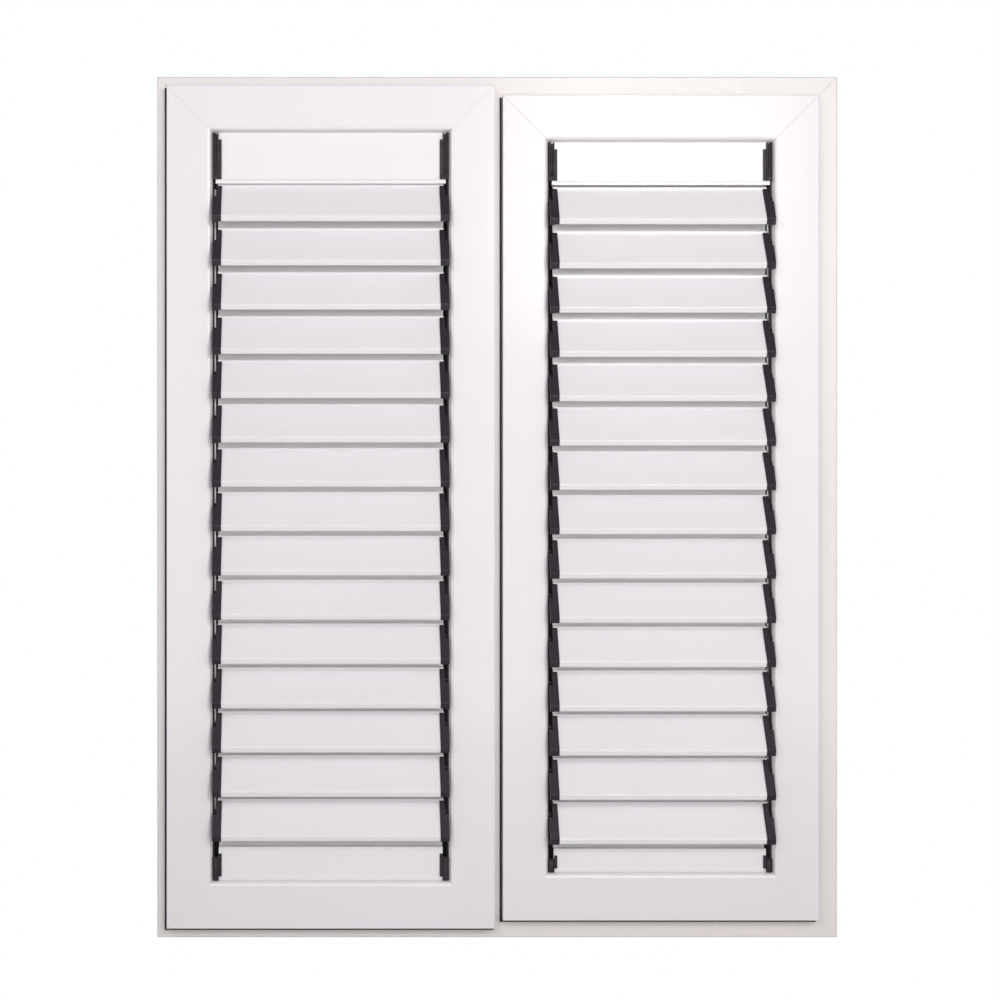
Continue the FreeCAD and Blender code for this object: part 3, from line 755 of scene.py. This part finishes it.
def make_louvres(leaf):
    """The leaf's blades, each with a clip at both ends. The clips on the hinge side carry the crank."""
    x0, x1 = FACTS[leaf]["opening_x"]
    bm = bmesh.new()
    outline = blade_outline()
    prism_x(bm, outline, x0 + INSET, x1 - INSET)
    blade = finish_mesh(leaf + "_blade", bm, 12)
    near_left = united(leaf + "_clip_left", clip_shells(x0, 1, SIDE[leaf] < 0))
    near_right = united(leaf + "_clip_right", clip_shells(x1, -1, SIDE[leaf] > 0))
    for number, (y, z) in sorted(pivots(leaf).items()):
        node = "%s_louvre_%02d" % (leaf, number)
        offset = Vector((0, y, z))
        made = piece("%s_blade_%02d" % (leaf, number), moved(blade, offset), MATERIALS["blade"], node,
                     "blade_pvc", node)
        soften(made, 0.3 * MM, 2, 60)
        for side, clip in (("left", near_left), ("right", near_right)):
            piece("%s_clip_%02d_%s" % (leaf, number, side), moved(clip, offset), MATERIALS["black"], node,
                  "black_plastic", node)


# ---------------------------------------------------------------- closing panels and holders

def make_closing_panels(leaf):
    """The top panel with its drip lip, and the bottom panel with its shelf and upstand."""
    back = PANEL_FACE + PANEL_THICK
    lip_height = 7.4 * MM
    lip_back = 8 * MM           # the lip's thin foot, in front of the top louvre
    foot = 2.7 * MM
    upstand = 14 * MM
    for place in ("top", "bottom"):
        node = "%s_%s_closing_panel" % (leaf, place)
        low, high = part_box(node)
        shoulder = low.z + lip_height
        ledge = high.z - upstand
        if place == "top":
            outline = [
                (PANEL_FACE, high.z, 0.3 * MM), (PANEL_FACE, shoulder, 0.8 * MM), (low.y, shoulder, 2.2 * MM),
                (low.y, low.z, 0.5 * MM), (low.y + lip_back, low.z, 0.4 * MM),
                (low.y + lip_back, low.z + foot, 0.3 * MM), (back, low.z + foot, 0.3 * MM),
                (back, high.z, 0.3 * MM)]
        else:
            outline = [
                (PANEL_FACE, low.z, 0.3 * MM), (PANEL_FACE, ledge, 0.8 * MM),
                (high.y - SHEET, ledge, 0.5 * MM), (high.y - SHEET, high.z, 0.4 * MM),
                (high.y, high.z, 0.4 * MM),
                (high.y, ledge - SHEET, 0.8 * MM), (back, ledge - SHEET, 0.5 * MM), (back, low.z, 0.3 * MM)]
        bm = bmesh.new()
        prism_x(bm, rounded(outline), low.x, high.x)
        mesh = finish_mesh(node, bm, 20)
        piece(node + "_sheet", mesh, MATERIALS["blade"], leaf + "_leaf", "blade_pvc", node)


def upright_bar(bm, wall, inward, near, far, y0, y1, z0, z1):
    """A rounded bar along Z beside the opening's wall."""
    a, b = sorted((wall + inward * near * MM, wall + inward * far * MM))
    outline = rounded([(a, y0, 0.5 * MM), (b, y0, 0.5 * MM), (b, y1, 0.2 * MM), (a, y1, 0.2 * MM)], 2)
    prism_z(bm, outline, z0, z1)


# a holder's upright bars, as distances in millimetres from the opening's side
OUTER_CHEEK = (0.8, 2.9)
INNER_CHEEK = (8.5, 10.6)
CHANNEL_FLOOR = (2.6, 8.8)
CHANNEL_RIB = (4.6, 6.4)
TONGUE = (10.3, 15.8)


def make_holders(leaf):
    """The black channels that hold both closing panels' ends."""
    x0, x1 = FACTS[leaf]["opening_x"]
    front = PANEL_FACE - 6 * MM
    step = front + 2.4 * MM
    for place in ("top", "bottom"):
        node = "%s_%s_panel_holders" % (leaf, place)
        low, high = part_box(node)
        at_top = place == "top"
        back = PANEL_FACE if at_top else PANEL_FACE + PANEL_THICK
        for side, wall, inward in (("left", x0, 1), ("right", x1, -1)):
            shells = []

            def bar(near, far, y0, y1, z0, z1):
                bm = bmesh.new()
                upright_bar(bm, wall, inward, near, far, y0, y1, z0, z1)
                shells.append(bm)

            channel_top = high.z if at_top else high.z - 5.5 * MM
            bar(*OUTER_CHEEK, front, back, low.z, channel_top)
            bar(*INNER_CHEEK, front, back, low.z, channel_top)
            bar(*CHANNEL_FLOOR, step, back, low.z, channel_top - 2 * MM)
            bar(*CHANNEL_FLOOR, front + 0.3 * MM, back, low.z, low.z + 6 * MM)
            if at_top:
                bar(*TONGUE, step, PANEL_FACE, low.z, high.z - 11.5 * MM)
                bar(*CHANNEL_RIB, front + 0.6 * MM, back, low.z + 22 * MM, high.z - 6 * MM)
            else:
                bar(*TONGUE, step, PANEL_FACE, low.z + 6.5 * MM, high.z)
            piece("%s_%s_holder_%s" % (leaf, place, side), united("holder", shells), MATERIALS["black"],
                  leaf + "_leaf", "black_plastic", node)


# ---------------------------------------------------------------- CAD nodes that stay

def dress_cad_nodes():
    """Gives the CAD nodes that stay in sight their finish."""
    for leaf in LEAVES:
        for node, material in (("_leaf_galleries", "black"), ("_leaf_link_bar", "link"),
                               ("_hinge_brackets", "hinge"), ("_leaf_hinge_knuckles", "hinge")):
            kept = frame["nodes"][leaf + node]
            kept.data.materials.clear()
            kept.data.materials.append(MATERIALS[material])


# ---------------------------------------------------------------- stage, lights and camera

CAMERA_DISTANCE = 3.1
CAMERA_LEFT = 0.316         # how far left of the middle the camera stands
CAMERA_ABOVE = 0.0124       # how far above half height
SENSOR_WIDTH = 36.0
LENS = 64.5
FRAMING_SHIFT = 0.184
LIGHT_DISTANCE = 3.0
FLOOR_SIZE = 60
FLOOR_GREY = 0.6
WARM = (1.0, 0.985, 0.975)
COOL = (1.0, 0.98, 0.99)
NEUTRAL = (1.0, 0.98, 0.985)

# brightness of the surroundings and of each light, as radiance
SURROUNDINGS = 0.32
MIRRORED = 7.0
RIGHT_KEY = 1.8
LEFT_KEY = 3.4
FILL = 1.93


def make_stage():
    """A plain white floor that stays white however the lights fall on it."""
    bm = bmesh.new()
    bmesh.ops.create_grid(bm, x_segments=8, y_segments=8, size=FLOOR_SIZE)
    floor = bpy.data.objects.new("floor", finish_mesh("floor", bm))
    floor.location.z = cad_low.z - 0.5 * MM
    bpy.context.scene.collection.objects.link(floor)
    material, nodes, links, shader = new_material("studio_floor")
    shader.inputs["Base Color"].default_value = (FLOOR_GREY, FLOOR_GREY, FLOOR_GREY, 1)
    shader.inputs["Roughness"].default_value = 0.9
    glow = nodes.new("ShaderNodeEmission")
    glow.inputs["Color"].default_value = (1, 1, 1, 1)
    glow.inputs["Strength"].default_value = 1.0
    mix = nodes.new("ShaderNodeMixShader")
    links.new(nodes.new("ShaderNodeLightPath").outputs["Is Camera Ray"], mix.inputs["Fac"])
    links.new(shader.outputs[0], mix.inputs[1])
    links.new(glow.outputs[0], mix.inputs[2])
    links.new(mix.outputs[0], nodes["Material Output"].inputs["Surface"])
    floor.data.materials.append(material)


def make_world(strength):
    """White to the camera, and a dimmer even light on the object."""
    world = bpy.data.worlds.new("studio")
    bpy.context.scene.world = world
    world.use_nodes = True
    nodes = world.node_tree.nodes
    links = world.node_tree.links
    seen = nodes["Background"]
    seen.inputs["Color"].default_value = (1, 1, 1, 1)
    seen.inputs["Strength"].default_value = 1.0
    lit = nodes.new("ShaderNodeBackground")
    lit.inputs["Color"].default_value = (1.0, 0.985, 0.98, 1)
    lit.inputs["Strength"].default_value = strength
    mix = nodes.new("ShaderNodeMixShader")
    links.new(nodes.new("ShaderNodeLightPath").outputs["Is Camera Ray"], mix.inputs["Fac"])
    links.new(lit.outputs[0], mix.inputs[1])
    links.new(seen.outputs[0], mix.inputs[2])
    links.new(mix.outputs[0], nodes["World Output"].inputs["Surface"])


def softbox(name, centre, width, height, radiance, colour, aim=None):
    """A rectangular light of a given brightness, facing the object."""
    data = bpy.data.lights.new(name, "AREA")
    data.shape = "RECTANGLE"
    data.size = width
    data.size_y = height
    data.energy = radiance * math.pi * width * height
    data.color = colour
    made = bpy.data.objects.new(name, data)
    made.location = centre
    toward = Vector((0, 1, 0)) if aim is None else aim - centre
    made.rotation_euler = toward.to_track_quat("-Z", "Y").to_euler()
    bpy.context.scene.collection.objects.link(made)


def make_lights():
    """A softbox mirrored in the right leaf's top corner, two side lights and a wide fill.

    Each light is given by its name, centre, width, height, brightness, colour and what it is aimed at.
    """
    y = LEAF_FRONT - LIGHT_DISTANCE
    middle = Vector((0, LEAF_FRONT, 0.8))
    softbox("mirrored", Vector((0.80, y, 1.81)), 0.84, 0.96, MIRRORED, WARM)
    softbox("right_key", Vector((2.35, y, 2.2)), 1.5, 1.3, RIGHT_KEY, WARM, middle)
    softbox("left_key", Vector((-1.95, y, 2.2)), 1.5, 1.3, LEFT_KEY, COOL, middle)
    softbox("fill", Vector((0.3, y - 0.3, 0.9)), 3.6, 3.2, FILL, NEUTRAL)


def make_camera():
    """Square on to the leaves, left of the middle and just above half height."""
    data = bpy.data.cameras.new("camera")
    data.sensor_width = SENSOR_WIDTH
    data.lens = LENS
    data.shift_x = FRAMING_SHIFT
    made = bpy.data.objects.new("camera", data)
    middle = (cad_low.z + cad_high.z) / 2
    made.location = Vector((-CAMERA_LEFT, LEAF_FRONT - CAMERA_DISTANCE, middle + CAMERA_ABOVE))
    made.rotation_euler = (math.radians(90), 0, 0)
    bpy.context.scene.collection.objects.link(made)
    bpy.context.scene.camera = made


bpy.context.scene.view_settings.view_transform = "Standard"
make_frame()
for name in LEAVES:
    # painted shadow strips along each leaf's left and bottom edges
    make_shadow_strips(name)
    make_leaf(name)
    make_louvres(name)
    make_closing_panels(name)
    make_holders(name)
dress_cad_nodes()
make_stage()
make_world(SURROUNDINGS)
make_lights()
make_camera()
